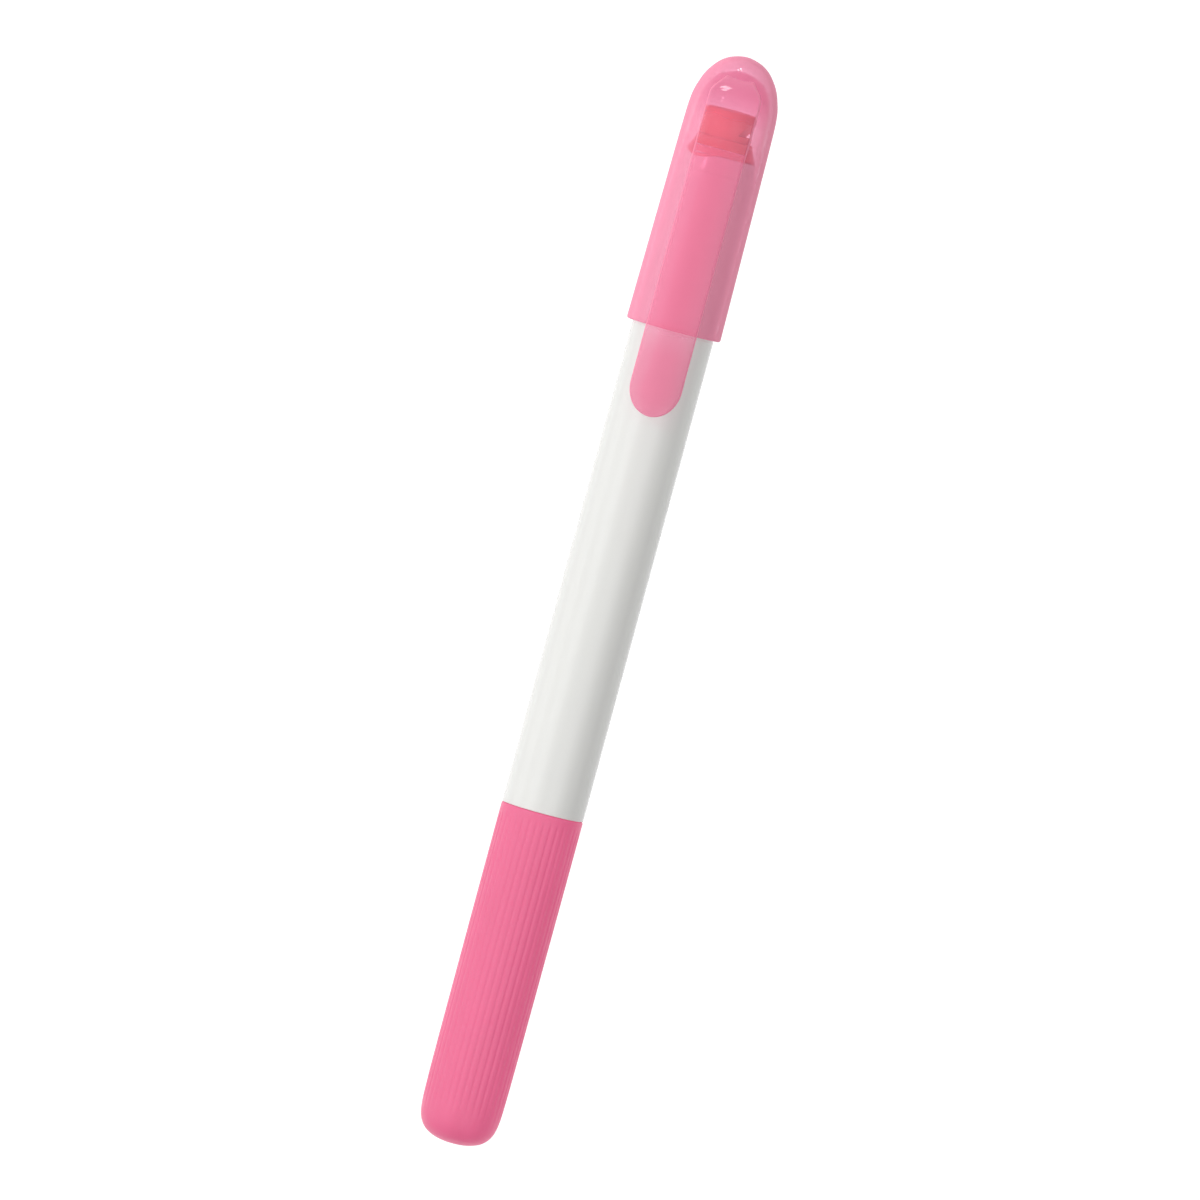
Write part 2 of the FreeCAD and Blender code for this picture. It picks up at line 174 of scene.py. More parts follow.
# ------------------------------------------------------------------ materials
class Nodes:
    """A short way to wire a node material."""

    def __init__(self, name):
        self.mat = bpy.data.materials.new(name)
        self.mat.use_nodes = True
        self.tree = self.mat.node_tree
        self.tree.nodes.clear()
        self.out = self.tree.nodes.new("ShaderNodeOutputMaterial")

    def node(self, kind, **values):
        n = self.tree.nodes.new(kind)
        for k, v in values.items():
            if hasattr(n, k):
                setattr(n, k, v)
            else:
                n.inputs[k.replace("_", " ")].default_value = v
        return n

    def link(self, a, b):
        self.tree.links.new(a, b)

    def coords(self, scale=(1, 1, 1)):
        tc = self.node("ShaderNodeTexCoord")
        m = self.node("ShaderNodeMapping")
        m.inputs["Scale"].default_value = scale
        self.link(tc.outputs["Object"], m.inputs["Vector"])
        return m.outputs["Vector"]

    def noise(self, vector, scale, detail=3.0, rough=0.5, distortion=0.0):
        n = self.node("ShaderNodeTexNoise")
        n.inputs["Scale"].default_value = scale
        n.inputs["Detail"].default_value = detail
        n.inputs["Roughness"].default_value = rough
        n.inputs["Distortion"].default_value = distortion
        self.link(vector, n.inputs["Vector"])
        return n.outputs["Fac"]

    def ramp(self, fac, stops):
        n = self.node("ShaderNodeValToRGB")
        els = n.color_ramp.elements
        while len(els) < len(stops):
            els.new(0.5)
        for e, (pos, col) in zip(els, stops):
            e.position = pos
            e.color = (*col, 1.0) if len(col) == 3 else col
        self.link(fac, n.inputs["Fac"])
        return n.outputs["Color"]

    def span(self, fac, lo, hi, a=0.3, b=0.7):
        n = self.node("ShaderNodeMapRange")
        n.inputs["From Min"].default_value = a
        n.inputs["From Max"].default_value = b
        n.inputs["To Min"].default_value = lo
        n.inputs["To Max"].default_value = hi
        self.link(fac, n.inputs["Value"])
        return n.outputs["Result"]

    def bump(self, height, strength, distance, under=None):
        n = self.node("ShaderNodeBump")
        n.inputs["Strength"].default_value = strength
        n.inputs["Distance"].default_value = distance
        self.link(height, n.inputs["Height"])
        if under is not None:
            self.link(under, n.inputs["Normal"])
        return n.outputs["Normal"]

    def surface(self, shader):
        self.link(shader, self.out.inputs["Surface"])


def shade(col, k):
    return tuple(min(1.0, max(0.0, c * k)) for c in col)


def plastic(name, colour, rough=(0.2, 0.3), vary=0.03, grain=9000.0, grain_depth=0.4e-6, flow=(60, 500, 500),
            coat=0.0, subsurface=0.0, radius=(0.004, 0.0015, 0.002), ior=1.46, specular=0.5, detail_bump=True, painted_glow=0.0):
    """Moulded plastic: a faint flow of colour along the part, soft waves in the
    skin, fine grain and rub marks in the gloss, and a painted glow if asked."""
    m = Nodes(name)
    base = m.coords()
    flowed = m.coords(flow)
    clouds = m.noise(flowed, 1.0, 4.0, 0.55, 0.6)
    speck = m.noise(base, 2600.0, 2.0, 0.5)
    mixf = m.node("ShaderNodeMath", operation="MULTIPLY_ADD")
    m.link(speck, mixf.inputs[0])
    mixf.inputs[1].default_value = 0.25
    m.link(clouds, mixf.inputs[2])
    col = m.ramp(mixf.outputs[0], [(0.38, shade(colour, 1 - vary)), (0.62, colour), (0.86, shade(colour, 1 + vary * 0.6))])
    rub = m.noise(m.coords((900, 90, 90)), 1.0, 5.0, 0.65)
    wear = m.noise(base, 320.0, 3.0, 0.6)
    both = m.node("ShaderNodeMath", operation="MULTIPLY")
    m.link(rub, both.inputs[0])
    m.link(wear, both.inputs[1])
    rgh = m.span(both.outputs[0], rough[0], rough[1], 0.12, 0.42)
    b = m.node("ShaderNodeBsdfPrincipled")
    m.link(col, b.inputs["Base Color"])
    m.link(rgh, b.inputs["Roughness"])
    b.inputs["IOR"].default_value = ior
    b.inputs["Specular IOR Level"].default_value = specular
    if coat:
        b.inputs["Coat Weight"].default_value = coat
        b.inputs["Coat Roughness"].default_value = 0.06
    if subsurface:
        b.inputs["Subsurface Weight"].default_value = subsurface
        b.inputs["Subsurface Radius"].default_value = (1.0, radius[1] / radius[0], radius[2] / radius[0])
        b.inputs["Subsurface Scale"].default_value = radius[0]
    if painted_glow:                                # painted glow: an even pink emission that lifts the part's shaded side
        m.link(m.ramp(mixf.outputs[0], [(0.38, (0.95, 0.055, 0.24)), (0.86, (1.0, 0.06, 0.26))]), b.inputs["Emission Color"])
        b.inputs["Emission Strength"].default_value = painted_glow
    if detail_bump:
        waves = m.noise(m.coords((120, 420, 420)), 1.0, 2.0, 0.5)
        n1 = m.bump(waves, 0.25, 6e-6)
        fine = m.noise(base, grain, 2.0, 0.6)
        n2 = m.bump(fine, 0.5, grain_depth, n1)
        m.link(n2, b.inputs["Normal"])
    m.surface(b.outputs[0])
    return m.mat


BARREL_COL = (0.80, 0.80, 0.775)
GRIP_COL = (0.53, 0.152, 0.235)
CORAL_COL = (0.74, 0.11, 0.105)
CAP_CLEAR = (0.985, 0.685, 0.80)         # where the wall is thin
CLIP_CLEAR = (0.97, 0.43, 0.585)        # the free clip is thicker
DOME_CLEAR = (0.82, 0.40, 0.55)         # so is the dome
CAP_MILK = (0.93, 0.315, 0.46)

mat_barrel = plastic("barrel_white_gloss", BARREL_COL, rough=(0.10, 0.22), vary=0.015, grain=5200.0,
                     grain_depth=0.5e-6, flow=(40, 260, 260), subsurface=0.15, radius=(0.0012, 0.0012, 0.0011))
# the grip gets a painted glow: pink emission that lifts its shaded side
mat_grip = plastic("grip_pink_satin", GRIP_COL, rough=(0.34, 0.5), vary=0.035, grain=7000.0, grain_depth=2.2e-6,
                   flow=(70, 300, 300), subsurface=0.2, radius=(0.0015, 0.0005, 0.0007), specular=0.3, painted_glow=0.34)
mat_coral = plastic("collar_coral_plastic", CORAL_COL, rough=(0.25, 0.38), vary=0.04, grain=6000.0,
                    grain_depth=1.2e-6, flow=(90, 400, 400), subsurface=0.2, radius=(0.001, 0.0004, 0.0004))
mat_inner = plastic("inner_acetal", (0.80, 0.785, 0.74), rough=(0.3, 0.45), vary=0.03, grain=5000.0, grain_depth=1.5e-6)
mat_ring = plastic("ring_rubber_black", (0.035, 0.035, 0.036), rough=(0.55, 0.75), vary=0.25, grain=8000.0,
                   grain_depth=3.0e-6)


def wax():
    """Gel wax: soft, faintly streaked where it was cast and dragged."""
    m = Nodes("gel_wax_coral")
    base = m.coords()
    streak = m.noise(m.coords((180, 1100, 1100)), 1.0, 5.0, 0.6, 0.4)
    col = m.ramp(streak, [(0.3, (0.70, 0.095, 0.09)), (0.55, (0.74, 0.115, 0.105)), (0.8, (0.77, 0.14, 0.125))])
    b = m.node("ShaderNodeBsdfPrincipled")
    m.link(col, b.inputs["Base Color"])
    blot = m.noise(base, 700.0, 4.0, 0.6)
    m.link(m.span(blot, 0.38, 0.6), b.inputs["Roughness"])
    b.inputs["Subsurface Weight"].default_value = 0.35
    b.inputs["Subsurface Radius"].default_value = (1.0, 0.35, 0.3)
    b.inputs["Subsurface Scale"].default_value = 0.0015
    b.inputs["IOR"].default_value = 1.44
    lumps = m.noise(base, 900.0, 4.0, 0.6)
    fine = m.noise(base, 6000.0, 2.0, 0.6)
    n1 = m.bump(lumps, 0.5, 2.5e-5)
    m.link(m.bump(fine, 0.4, 4e-6, n1), b.inputs["Normal"])
    m.surface(b.outputs[0])
    return m.mat


mat_wax = wax()


def tinted():
    """Tinted, slightly milky, polished plastic.  The milk shows where the wall
    is seen edge on; lamps and soft light reach what is inside."""
    m = Nodes("cap_pink_translucent")
    base = m.coords()
    clouds = m.noise(m.coords((70, 260, 260)), 1.0, 4.0, 0.55, 0.8)
    waves = m.noise(m.coords((60, 160, 160)), 1.0, 2.0, 0.5)
    normal = m.bump(waves, 0.02, 8e-6)
    rub = m.noise(base, 420.0, 4.0, 0.6)
    glass = m.node("ShaderNodeBsdfPrincipled")
    place_of = m.node("ShaderNodeSeparateXYZ")
    m.link(base, place_of.inputs[0])
    thick = m.ramp(m.span(place_of.outputs["X"], 0.0, 1.0, 0.02395, 0.06985),
                   [(0.168, CLIP_CLEAR), (0.266, CAP_CLEAR), (0.81, CAP_CLEAR), (0.90, DOME_CLEAR)])
    depth = m.node("ShaderNodeMix", data_type="RGBA", blend_type="MULTIPLY")
    depth.inputs[0].default_value = 1.0
    m.link(thick, depth.inputs[6])
    m.link(m.ramp(clouds, [(0.3, (0.985, 0.985, 0.985)), (0.7, (1.0, 1.0, 1.0))]), depth.inputs[7])
    m.link(depth.outputs[2], glass.inputs["Base Color"])
    glass.inputs["Transmission Weight"].default_value = 1.0
    glass.inputs["IOR"].default_value = 1.07
    m.link(m.span(rub, 0.0, 0.02), glass.inputs["Roughness"])
    milk = m.node("ShaderNodeBsdfPrincipled")
    m.link(m.ramp(clouds, [(0.3, shade(CAP_MILK, 0.975)), (0.7, shade(CAP_MILK, 1.02))]), milk.inputs["Base Color"])
    m.link(m.span(rub, 0.25, 0.4), milk.inputs["Roughness"])
    milk.inputs["Specular IOR Level"].default_value = 0.0
    # painted glow: a faint red emission in the milk lifts the cap's shaded side
    milk.inputs["Emission Color"].default_value = (1.0, 0.04, 0.14, 1.0)
    milk.inputs["Emission Strength"].default_value = 0.03
    for b in (glass, milk):
        b.inputs["Coat Weight"].default_value = 0.18
        b.inputs["Coat Roughness"].default_value = 0.03
        b.inputs["Coat IOR"].default_value = 1.5
        m.link(normal, b.inputs["Normal"])
        m.link(normal, b.inputs["Coat Normal"])
    edge = m.node("ShaderNodeLayerWeight")
    edge.inputs["Blend"].default_value = 0.5
    share = m.span(edge.outputs["Facing"], 0.34, 0.97, 0.12, 0.62)
    side_on = m.node("ShaderNodeNewGeometry")
    outer = m.span(side_on.outputs["Backfacing"], 1.0, 0.3)
    milky = m.node("ShaderNodeMath", operation="MULTIPLY")
    m.link(share, milky.inputs[0])
    m.link(outer, milky.inputs[1])
    # and little of it on the bore and the hollow of the dome
    level = m.node("ShaderNodeMath", operation="SUBTRACT")
    m.link(place_of.outputs["Z"], level.inputs[0])
    level.inputs[1].default_value = 0.006
    yy = m.node("ShaderNodeMath", operation="MULTIPLY")
    m.link(place_of.outputs["Y"], yy.inputs[0])
    m.link(place_of.outputs["Y"], yy.inputs[1])
    zz = m.node("ShaderNodeMath", operation="MULTIPLY")
    m.link(level.outputs[0], zz.inputs[0])
    m.link(level.outputs[0], zz.inputs[1])
    rr = m.node("ShaderNodeMath", operation="ADD")
    m.link(yy.outputs[0], rr.inputs[0])
    m.link(zz.outputs[0], rr.inputs[1])
    root = m.node("ShaderNodeMath", operation="SQRT")
    m.link(rr.outputs[0], root.inputs[0])
    reach = m.span(root.outputs[0], 0.0, 1.0, 0.0, 0.010)
    limit = m.ramp(m.span(place_of.outputs["X"], 0.0, 1.0, 0.05715, 0.06985),
                   [(0.0, (0.545,) * 3), (0.236, (0.515,) * 3), (0.394, (0.507,) * 3), (0.551, (0.483,) * 3), (0.63, (0.455,) * 3),
                    (0.709, (0.41,) * 3), (0.787, (0.34,) * 3), (0.858, (0.20,) * 3), (0.898, (0.0,) * 3)])
    outside = m.node("ShaderNodeMath", operation="GREATER_THAN")
    m.link(reach, outside.inputs[0])
    m.link(limit, outside.inputs[1])
    milky2 = m.node("ShaderNodeMath", operation="MULTIPLY")
    m.link(milky.outputs[0], milky2.inputs[0])
    m.link(m.span(outside.outputs[0], 0.2, 1.0, 0.0, 1.0), milky2.inputs[1])
    body = m.node("ShaderNodeMixShader")
    m.link(milky2.outputs[0], body.inputs["Fac"])
    m.link(glass.outputs[0], body.inputs[1])
    m.link(milk.outputs[0], body.inputs[2])
    clear = m.node("ShaderNodeBsdfTransparent")
    clear.inputs["Color"].default_value = (0.975, 0.78, 0.845, 1.0)
    path = m.node("ShaderNodeLightPath")
    either = m.node("ShaderNodeMath", operation="MAXIMUM")
    m.link(path.outputs["Is Shadow Ray"], either.inputs[0])
    m.link(path.outputs["Is Diffuse Ray"], either.inputs[1])
    mix = m.node("ShaderNodeMixShader")
    m.link(either.outputs[0], mix.inputs["Fac"])
    m.link(body.outputs[0], mix.inputs[1])
    m.link(clear.outputs[0], mix.inputs[2])
    m.surface(mix.outputs[0])
    return m.mat


mat_cap = tinted()


def wear(obj, mat, slot):
    obj.data.materials.clear()
    obj.data.materials.append(mat)


# ----------------------------------------------------------------------- grip
GRIP_TOP = 42.75
grip_end = curve_points([(0.0, 0.0), (0.03, 0.9), (0.13, 1.7), (0.3, 2.39), (0.53, 2.99), (0.8, 3.5), (1.3, 4.07), (1.8, 4.43),
                         (2.3, 4.67), (2.8, 4.82), (3.3, 4.92), (4.3, 5.03), (5.3, 5.075)], 0.14)
grip_side = [(s, r) for s, r in curve_points(
    [(5.3, 5.075), (8.0, 5.125), (12.0, 5.155), (18.0, 5.175), (26.0, 5.195), (34.0, 5.21), (42.0, 5.215)], 0.4)]
grip_lip = corner((42.45, 5.215), (42.75, 5.215), (42.75, 4.98), 7)
grip_profile = grip_end + grip_side[1:] + grip_lip + [
    (42.75, 4.6), (42.75, 4.0), (42.4, 4.0), (30.0, 3.97), (15.0, 3.93), (4.2, 3.88)] + corner((4.2, 3.88), (2.4, 3.8), (2.0, 1.8), 6) + [(1.8, 0.0)]
FLUTES = 36
FLUTE_SHIFT = math.radians(-1.2)      # where the grooves stand, from the top


def fluted(s, r, a):
    if r < 4.5 or s > 42.4:
        return s, r
    # angle from +Z towards -Y, so that it runs with the picture's right side
    fi = math.atan2(-math.cos(a), math.sin(a))
    u = (fi - FLUTE_SHIFT) * FLUTES / TAU
    d = abs(u - round(u)) * 2.0                # 0 in the groove, 1 on the rib
    groove = (1.0 - smooth(d, 0.0, 0.72)) ** 1.1
    fade = smooth(s, 2.2, 7.5) * (1.0 - smooth(s, 41.1, 42.0))
    return s, r - 0.075 * groove * fade


grip = lathe("grip_fluted_shell", grip_profile, n=FLUTES * 14, warp=fluted, sharp=40.0)
wear(grip, mat_grip, "grip_pink")
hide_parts("grip_shell")
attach(grip, "twist_grip")

# --------------------------------------------------------------------- barrel
nose_end = corner((124.3, 5.0), (124.6, 5.0), (124.85, 4.8), 5) + straight((124.85, 4.8), (126.7, 4.56), 0.4) + \
    corner((126.7, 4.56), (127.0, 4.5), (127.0, 4.3), 5)
barrel_profile = corner((42.78, 5.05), (42.78, 5.2), (42.92, 5.2), 5) + straight((42.92, 5.2), (104.4, 5.2), 2.0) + \
    [(104.4, 5.2), (104.45, 5.15)] + straight((104.45, 5.15), (124.3, 5.0), 1.5) + nose_end + \
    [(127.0, 4.05), (118.15, 4.05), (118.15, 4.35), (48.8, 4.35), (48.25, 4.66), (47.1, 4.66), (46.85, 4.35), (42.9, 4.35), (42.78, 4.47)]
barrel = lathe("barrel_white_tube", barrel_profile, n=256, closed=False)
wear(barrel, mat_barrel, "barrel_white")
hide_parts("barrel_tube")
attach(barrel, "barrel")

# --------------------------------------------------------------------- collar
# Its lower rim is scalloped where it was moulded over the nose.
rim_shift = [(-180, -0.05), (-120, 0.1), (-95, 0.05), (-66, 0.0), (-42, -0.62), (-23, -0.5), (-3, 0.0), (14, 0.12), (26, 0.4), (40, 0.45), (60, 0.05),
             (95, 0.05), (120, -0.2), (150, 0.15), (180, -0.05)]


def rim_at(a):
    fi = math.degrees(math.atan2(-math.cos(a), math.sin(a)))
    return lerp_table(rim_shift, fi)


def scallop(s, r, a):
    if s > 127.65 or r < 4.06 or s < 126.9:
        return s, r
    drop = rim_at(a)
    k = 1.0 - smooth(s, 127.05, 127.6)
    s2 = s + min(drop, 0.42) * k
    # the skirt stands just outside the nose where it reaches down over it
    nose_r = 4.30 if s2 > 127.0 else 4.56 + (126.7 - min(s2, 126.7)) * 0.13
    return s2, max(r, (nose_r + 0.07) if drop < -0.02 and s < 127.3 else r)


collar_profile = [(118.15, 3.53), (118.15, 4.04), (126.98, 4.04), (126.99, 4.08), (127.02, 4.28), (127.05, 4.34), (127.12, 4.36), (127.22, 4.33)] + \
    curve_points([(127.22, 4.33), (127.6, 4.12), (128.1, 3.88), (128.6, 3.69), (129.0, 3.58), (129.12, 3.52)], 0.12) + \
    [(129.2, 3.42), (129.2, 3.38), (118.3, 3.38)]
collar = lathe("nose_collar_coral", collar_profile, n=180, warp=scallop, closed=False)
wear(collar, mat_coral, "collar_coral")
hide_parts("nose_collar")
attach(collar, "barrel")

# ---------------------------------------------------------------------- stick


def bitten(s, r, a):
    """A wedge is missing from the stick's side just above the collar."""
    if r < 1.5 or s < 128.0:
        return s, r
    fi = math.atan2(-math.cos(a), math.sin(a))
    depth = 3.2
    if 130.0 <= s <= 131.85:
        depth = 2.05 + (3.2 - 2.05) * (s - 130.0) / 1.85
    c = math.cos(fi - math.radians(78.0))
    if c > 0.05:
        r = min(r, depth / c)
    return s, r


stick_side = straight((102.0, 3.2), (129.0, 3.2), 3.0) + straight((129.0, 3.2), (129.9, 3.2), 0.2) + [(129.9, 3.2), (129.98, 3.2), (130.02, 3.2)] + \
    straight((130.1, 3.2), (131.8, 3.2), 0.15) + [(131.86, 3.2)] + straight((131.95, 3.2), (132.36, 3.2), 0.15) + corner((132.36, 3.2), (132.6, 3.2), (132.6, 2.95), 5)
stick_top = [(132.6, 2.4), (132.57, 1.6), (132.56, 0.8), (132.56, 0.0)]
stick = lathe("gel_stick_coral", [(102.0, 1.4)] + stick_side + stick_top, n=160, warp=bitten, sharp=30.0)
# the holder's barbed post stands in the stick's lower end
mesh = stick.data
bm = bmesh.new()
bm.from_mesh(mesh)
hole = [e for e in bm.edges if e.is_boundary]
if hole:
    bmesh.ops.holes_fill(bm, edges=hole, sides=0)
bmesh.ops.recalc_face_normals(bm, faces=bm.faces)
bm.to_mesh(mesh)
bm.free()
wear(stick, mat_wax, "gel_coral")
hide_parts("gel_stick")
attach(stick, "carriage")

# ------------------------------------------------------------- cap with clip
dome = curve_points([(128.0, 5.69), (130.5, 5.64), (131.7, 5.61), (132.7, 5.56), (133.7, 5.46), (134.5, 5.30), (135.2, 5.09), (136.2, 4.74),
                     (136.9, 4.385), (137.5, 3.99), (138.0, 3.60), (138.5, 3.13), (138.9, 2.61), (139.2, 2.09), (139.45, 1.43),
                     (139.6, 0.86), (139.68, 0.40), (139.7, 0.0)], 0.14)
cavity = curve_points([(137.85, 0.0), (137.8, 0.6), (137.7, 1.2), (137.35, 2.1), (136.9, 2.83), (136.2, 3.46), (135.2, 4.0), (134.0, 4.36),
                       (132.0, 4.6), (130.4, 4.68), (128.9, 4.70)], 0.16)
cap_profile = [(139.7, 0.0)] + dome[::-1][1:] + straight((128.0, 5.69), (105.05, 6.0), 1.5)[1:] + \
    corner((105.05, 6.0), (104.7, 6.005), (104.7, 5.7), 6) + [(104.7, 5.6), (104.7, 5.44)] + \
    corner((104.7, 5.44), (104.78, 5.27), (105.05, 5.24), 4)[1:] + straight((105.05, 5.24), (124.95, 5.09), 1.5)[1:] + \
    [(124.95, 5.09), (125.25, 5.0)] + straight((125.25, 5.0), (128.6, 4.905), 0.8)[1:] + \
    corner((128.6, 4.905), (128.82, 4.9), (128.84, 4.82), 3) + [(128.9, 4.72)] + cavity[::-1][1:]

shell = lathe("cap_shell_part", cap_profile, n=256, sharp=38.0)

CLIP_TIP, CLIP_L, CLIP_W = 93.8, 3.9, 6.5
TOP, UNDER = 8.45, 7.10
top_line = curve_points([(93.8, 7.86), (94.25, 8.06), (95.0, 8.22), (96.5, 8.32), (98.5, 8.37), (102.0, 8.41), (106.0, 8.43), (112.0, 8.44), (120.0, 8.44), (127.0, 8.43),
                         (129.0, 8.40), (130.5, 8.30), (131.6, 8.12), (132.6, 7.82), (133.5, 7.37), (134.3, 6.86), (135.1, 6.26), (135.9, 5.56), (136.5, 4.9), (136.9, 4.30), (137.2, 3.80), (137.6, 3.15)], 0.3)
under_line = [(93.8, 7.25), (95.0, 7.06), (95.6, 6.82), (96.2, 6.42), (96.8, 6.13), (97.3, 6.05), (97.8, 6.13), (98.4, 6.42), (99.1, 6.82), (99.9, 7.07), (100.8, 7.10), (127.1, 7.10)]
under_smooth = curve_points(under_line[:-1], 0.15) + [(127.1, 7.10)]
wall_mid = [(128.0, 5.2), (131.0, 5.13), (133.0, 5.0), (134.0, 4.84), (135.0, 4.58), (136.0, 4.2), (136.6, 3.8), (137.2, 3.25), (137.6, 2.65)]


def clip_half(s):
    if s < CLIP_TIP + CLIP_L:
        k = (CLIP_TIP + CLIP_L - s) / CLIP_L
        return CLIP_W / 2.0 * math.sqrt(max(0.0, 1.0 - k ** 2.1))
    return CLIP_W / 2.0 - 1.65 * smooth(s, 134.6, 137.6)


def clip_section(s):
    w = max(0.03, clip_half(s))
    zt = lerp_table(top_line, s)
    e = min(0.32, 0.5 * w)
    eb = min(0.22, 0.4 * w)
    ys = [0.0, 0.18, 0.36, 0.54, 0.72, 0.88]
    half = [(k * (w - e)) for k in ys] + [w - e + e * math.sin(math.radians(a)) for a in (0, 20, 40, 58, 74, 90)]
    top = []
    for y in half:
        x = max(0.0, y - (w - e))
        drop = e - math.sqrt(max(0.0, e * e - x * x))
        top.append((y, zt - (13.0 - math.sqrt(169.0 - y * y)) - drop))
    halfb = [(k * (w - eb)) for k in ys] + [w - eb + eb * math.sin(math.radians(a)) for a in (0, 25, 50, 72, 90)]
    bottom = []
    for y in halfb:
        x = max(0.0, y - (w - eb))
        rise = eb - math.sqrt(max(0.0, eb * eb - x * x))
        if s <= 127.1:
            z = lerp_table(under_smooth, s) + rise
        else:
            rw = lerp_table(wall_mid, s)
            zw = math.sqrt(max(0.3, rw * rw - y * y))
            if s < 128.0:                      # fillet into the post
                q = (s - 127.1) / 0.9
                z = 7.10 - 0.9 * (1.0 - math.sqrt(max(0.0, 1.0 - q * q)))
                z = z + rise * (1 - q)
            else:
                z = zw
        bottom.append((y, z))
    zlow = bottom[-1][1] + 0.01
    if top[-1][1] < zlow:
        top[-1] = (top[-1][0], zlow)
    right = top + bottom[::-1]                 # centre top to edge, edge to centre bottom
    left = [(-y, z) for y, z in bottom[1:]] + [(-y, z) for y, z in top[::-1][:-1]]
    return right + left


stations = [93.8, 93.81, 93.84, 93.9, 94.0, 94.12, 94.28, 94.46, 94.68, 94.92, 95.2, 95.5, 95.8, 96.1, 96.4, 96.7, 97.0, 97.3, 97.6, 97.9,
            98.2, 98.5, 98.8, 99.1, 99.5, 99.9, 100.4, 101.0] + [101.0 + 1.25 * k for k in range(1, 21)] + [126.6, 127.1] + \
    [127.1 + 0.9 * math.sin(math.radians(a)) for a in (15, 30, 45, 60, 72, 82)] + [127.998, 128.001, 128.25, 128.7, 129.2, 129.8, 130.4, 131.0, 131.5, 132.0, 132.5, 133.0,
     133.4, 133.8, 134.2, 134.6, 135.0, 135.4, 135.8, 136.1, 136.4, 136.7, 136.95, 137.2, 137.4, 137.6]
loops = [clip_section(s) for s in stations]
verts, faces = [], []
m = len(loops[0])
for s, loop in zip(stations, loops):
    verts += [(s, y, z) for y, z in loop]
for i in range(len(stations) - 1):
    for j in range(m):
        k = (j + 1) % m
        faces.append((i * m + j, i * m + k, (i + 1) * m + k, (i + 1) * m + j))
faces.append(tuple(range(m)))
faces.append(tuple((len(stations) - 1) * m + j for j in range(m))[::-1])
arm = mesh_object("cap_clip_part", verts, faces, sharp=38.0)

cut = shell.modifiers.new("join", "BOOLEAN")
cut.operation = "UNION"
cut.solver = "EXACT"
cut.object = arm
bpy.context.view_layer.update()
joined = bpy.data.meshes.new_from_object(shell.evaluated_get(bpy.context.evaluated_depsgraph_get()))
joined.name = "cap_with_clip"
bpy.data.objects.remove(arm)
bpy.data.objects.remove(shell)
cap = bpy.data.objects.new("cap_with_clip", joined)
bpy.context.scene.collection.objects.link(cap)
bm = bmesh.new()
bm.from_mesh(joined)
bmesh.ops.remove_doubles(bm, verts=bm.verts, dist=3e-7)
bmesh.ops.dissolve_degenerate(bm, edges=bm.edges, dist=3e-7)
bmesh.ops.triangulate(bm, faces=[f for f in bm.faces if len(f.verts) > 4])
bmesh.ops.recalc_face_normals(bm, faces=bm.faces)
bad = [e for e in bm.edges if len(e.link_faces) != 2]
print("cap faces", len(bm.faces), "open edges", len(bad))
bm.to_mesh(joined)
bm.free()
finish_mesh(joined, 33.0)
wear(cap, mat_cap, "cap_tinted")
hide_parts("cap_shell", "pocket_clip")
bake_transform(cap)

# ------------------------------------------------- pieces kept from the frame
for name, mat in (("guide_sleeve", mat_inner), ("thrust_bush", mat_inner), ("grip_core", mat_inner), ("lead_screw", mat_inner),
                  ("drive_nut", mat_inner), ("stick_holder", mat_inner), ("drag_ring", mat_ring)):
    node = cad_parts[name]
    node.data.materials.clear()
    node.data.materials.append(mat)

# ------------------------------------------------------------------- the set
FLOOR_Z = -0.25
floor_mesh = bpy.data.meshes.new("floor")
n, size = 8, 3.0
fv = [((i / n - 0.5) * size, (j / n - 0.5) * size, FLOOR_Z) for j in range(n + 1) for i in range(n + 1)]
ff = [(j * (n + 1) + i, j * (n + 1) + i + 1, (j + 1) * (n + 1) + i + 1, (j + 1) * (n + 1) + i) for j in range(n) for i in range(n)]
floor_mesh.from_pydata(fv, [], ff)
floor = bpy.data.objects.new("floor", floor_mesh)
bpy.context.scene.collection.objects.link(floor)
fm = Nodes("floor_white")
fb = fm.node("ShaderNodeBsdfPrincipled")
fcol = fm.ramp(fm.noise(fm.coords(), 6.0, 2.0), [(0.3, (0.90, 0.90, 0.90)), (0.7, (0.92, 0.92, 0.92))])
fm.link(fcol, fb.inputs["Base Color"])
fb.inputs["Roughness"].default_value = 0.9
fb.inputs["Emission Color"].default_value = (1, 1, 1, 1)
fb.inputs["Emission Strength"].default_value = 0.37
under_clear = fm.node("ShaderNodeBsdfTransparent")
geo = fm.node("ShaderNodeNewGeometry")
fmix = fm.node("ShaderNodeMixShader")
fm.link(geo.outputs["Backfacing"], fmix.inputs["Fac"])
fm.link(fb.outputs[0], fmix.inputs[1])
fm.link(under_clear.outputs[0], fmix.inputs[2])
fm.surface(fmix.outputs[0])
floor_mesh.materials.append(fm.mat)

world = bpy.data.worlds.new("studio")
bpy.context.scene.world = world
world.use_nodes = True
wt = world.node_tree
sky = wt.nodes["Background"]
sky.inputs["Color"].default_value = (1.0, 1.0, 1.0, 1.0)
sky.inputs["Strength"].default_value = 0.25
backdrop = wt.nodes.new("ShaderNodeBackground")          # the white sweep behind the pen
backdrop.inputs["Color"].default_value = (1.0, 1.0, 1.0, 1.0)
backdrop.inputs["Strength"].default_value = 1.0
seen = wt.nodes.new("ShaderNodeLightPath")
straight_on = wt.nodes.new("ShaderNodeMath")
straight_on.operation = "MAXIMUM"
wt.links.new(seen.outputs["Is Camera Ray"], straight_on.inputs[0])
wt.links.new(seen.outputs["Is Transmission Ray"], straight_on.inputs[1])
wmix = wt.nodes.new("ShaderNodeMixShader")
wt.links.new(straight_on.outputs[0], wmix.inputs["Fac"])
wt.links.new(sky.outputs[0], wmix.inputs[1])
wt.links.new(backdrop.outputs[0], wmix.inputs[2])
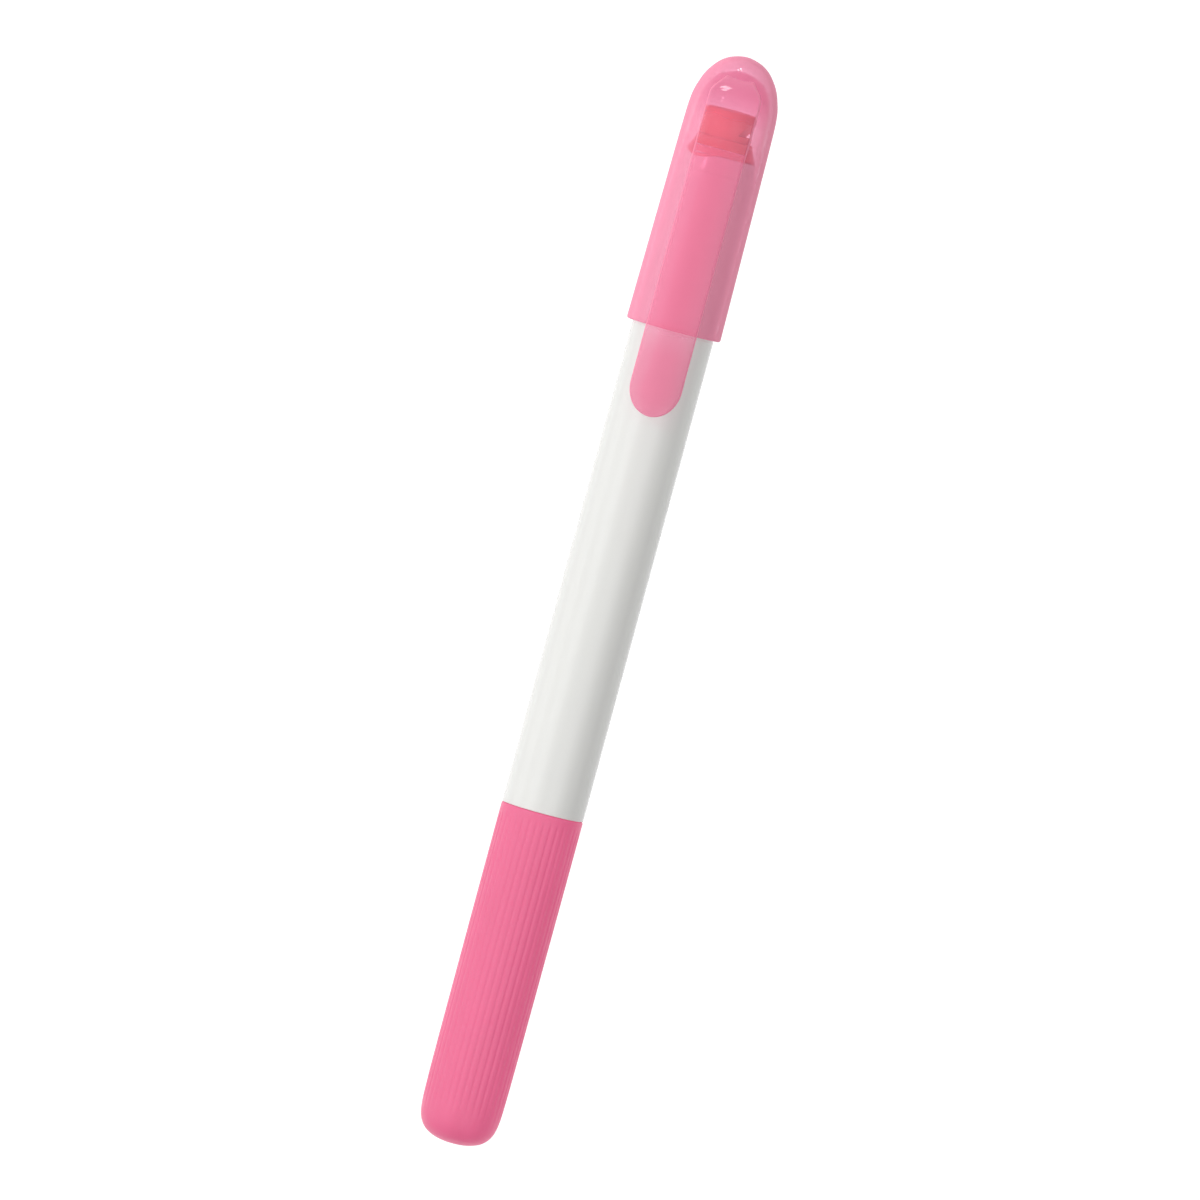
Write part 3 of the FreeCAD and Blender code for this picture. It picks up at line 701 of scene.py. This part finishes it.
wt.links.new(wmix.outputs[0], wt.nodes["World Output"].inputs["Surface"])


def lamp(name, angle, along, dist, width, length, power, colour=(1, 1, 1)):
    """A softbox.  angle turns from straight up towards the pen's right side
    (-Y); along tips it towards the cap; its long side lies along the pen."""
    a, b = math.radians(angle), math.radians(along)
    d = Vector((math.sin(b), -math.sin(a) * math.cos(b), math.cos(a) * math.cos(b)))
    light = bpy.data.lights.new(name, "AREA")
    light.shape = "RECTANGLE"
    light.size, light.size_y = length, width
    light.energy = power
    light.color = colour
    obj = bpy.data.objects.new(name, light)
    bpy.context.scene.collection.objects.link(obj)
    obj.location = d * dist + Vector((0, 0, 0.006))
    z = d.normalized()
    x = Vector((1, 0, 0)) - z * z.x
    if x.length < 1e-3:
        x = Vector((0, 1, 0)) - z * z.y
    x.normalize()
    y = z.cross(x)
    obj.rotation_mode = "QUATERNION"
    obj.rotation_quaternion = Matrix((x, y, z)).transposed().to_quaternion()
    obj.visible_camera = False
    return obj


LAMPS = [                                 # a soft arch over the pen, brighter on its left
    ("soft_far_left", -85, 0, 0.75, 0.36, 0.9, 1.10),
    ("soft_left_low", -62, 0, 0.75, 0.36, 0.9, 0.80),
    ("soft_left", -35, 0, 0.75, 0.36, 0.9, 1.60),
    ("key", -40, 20, 0.80, 0.10, 0.10, 1.00),
    ("soft_top", -5, 0, 0.75, 0.40, 0.9, 0.60),
    ("soft_right_high", 22, 0, 0.75, 0.36, 0.9, 1.35),
    ("soft_right", 42, 0, 0.75, 0.30, 0.9, 0.55),
    ("end_kick", -46, 78, 0.80, 0.07, 0.10, 0.70),
]
for spec in LAMPS:
    lamp(*spec)

# --------------------------------------------------------------------- camera
cam_data = bpy.data.cameras.new("camera")
cam = bpy.data.objects.new("camera", cam_data)
bpy.context.scene.collection.objects.link(cam)
bpy.context.scene.camera = cam
target = Vector((0.000137, 0.0, 0.006))
place = Vector((0.094137, -0.055, 2.006))
cam.location = place
fwd = (target - place).normalized()
ax = Vector((1, 0, 0)) - fwd * fwd.x
ax.normalize()
side = fwd.cross(ax)                      # the picture's right when +X is up
turn = math.radians(15.2)
up = math.cos(turn) * ax - math.sin(turn) * side
right = math.sin(turn) * ax + math.cos(turn) * side
cam.rotation_mode = "QUATERNION"
cam.rotation_quaternion = Matrix((right, up, -fwd)).transposed().to_quaternion()
cam_data.sensor_width = 36.0
cam_data.lens = 36.0 * (target - place).length / 0.14883
cam_data.clip_start, cam_data.clip_end = 0.01, 20.0

bpy.context.scene.view_settings.view_transform = "Standard"
bpy.context.scene.view_settings.look = "None"
bpy.context.scene.view_settings.exposure = 0.0
bpy.context.scene.view_settings.gamma = 1.0
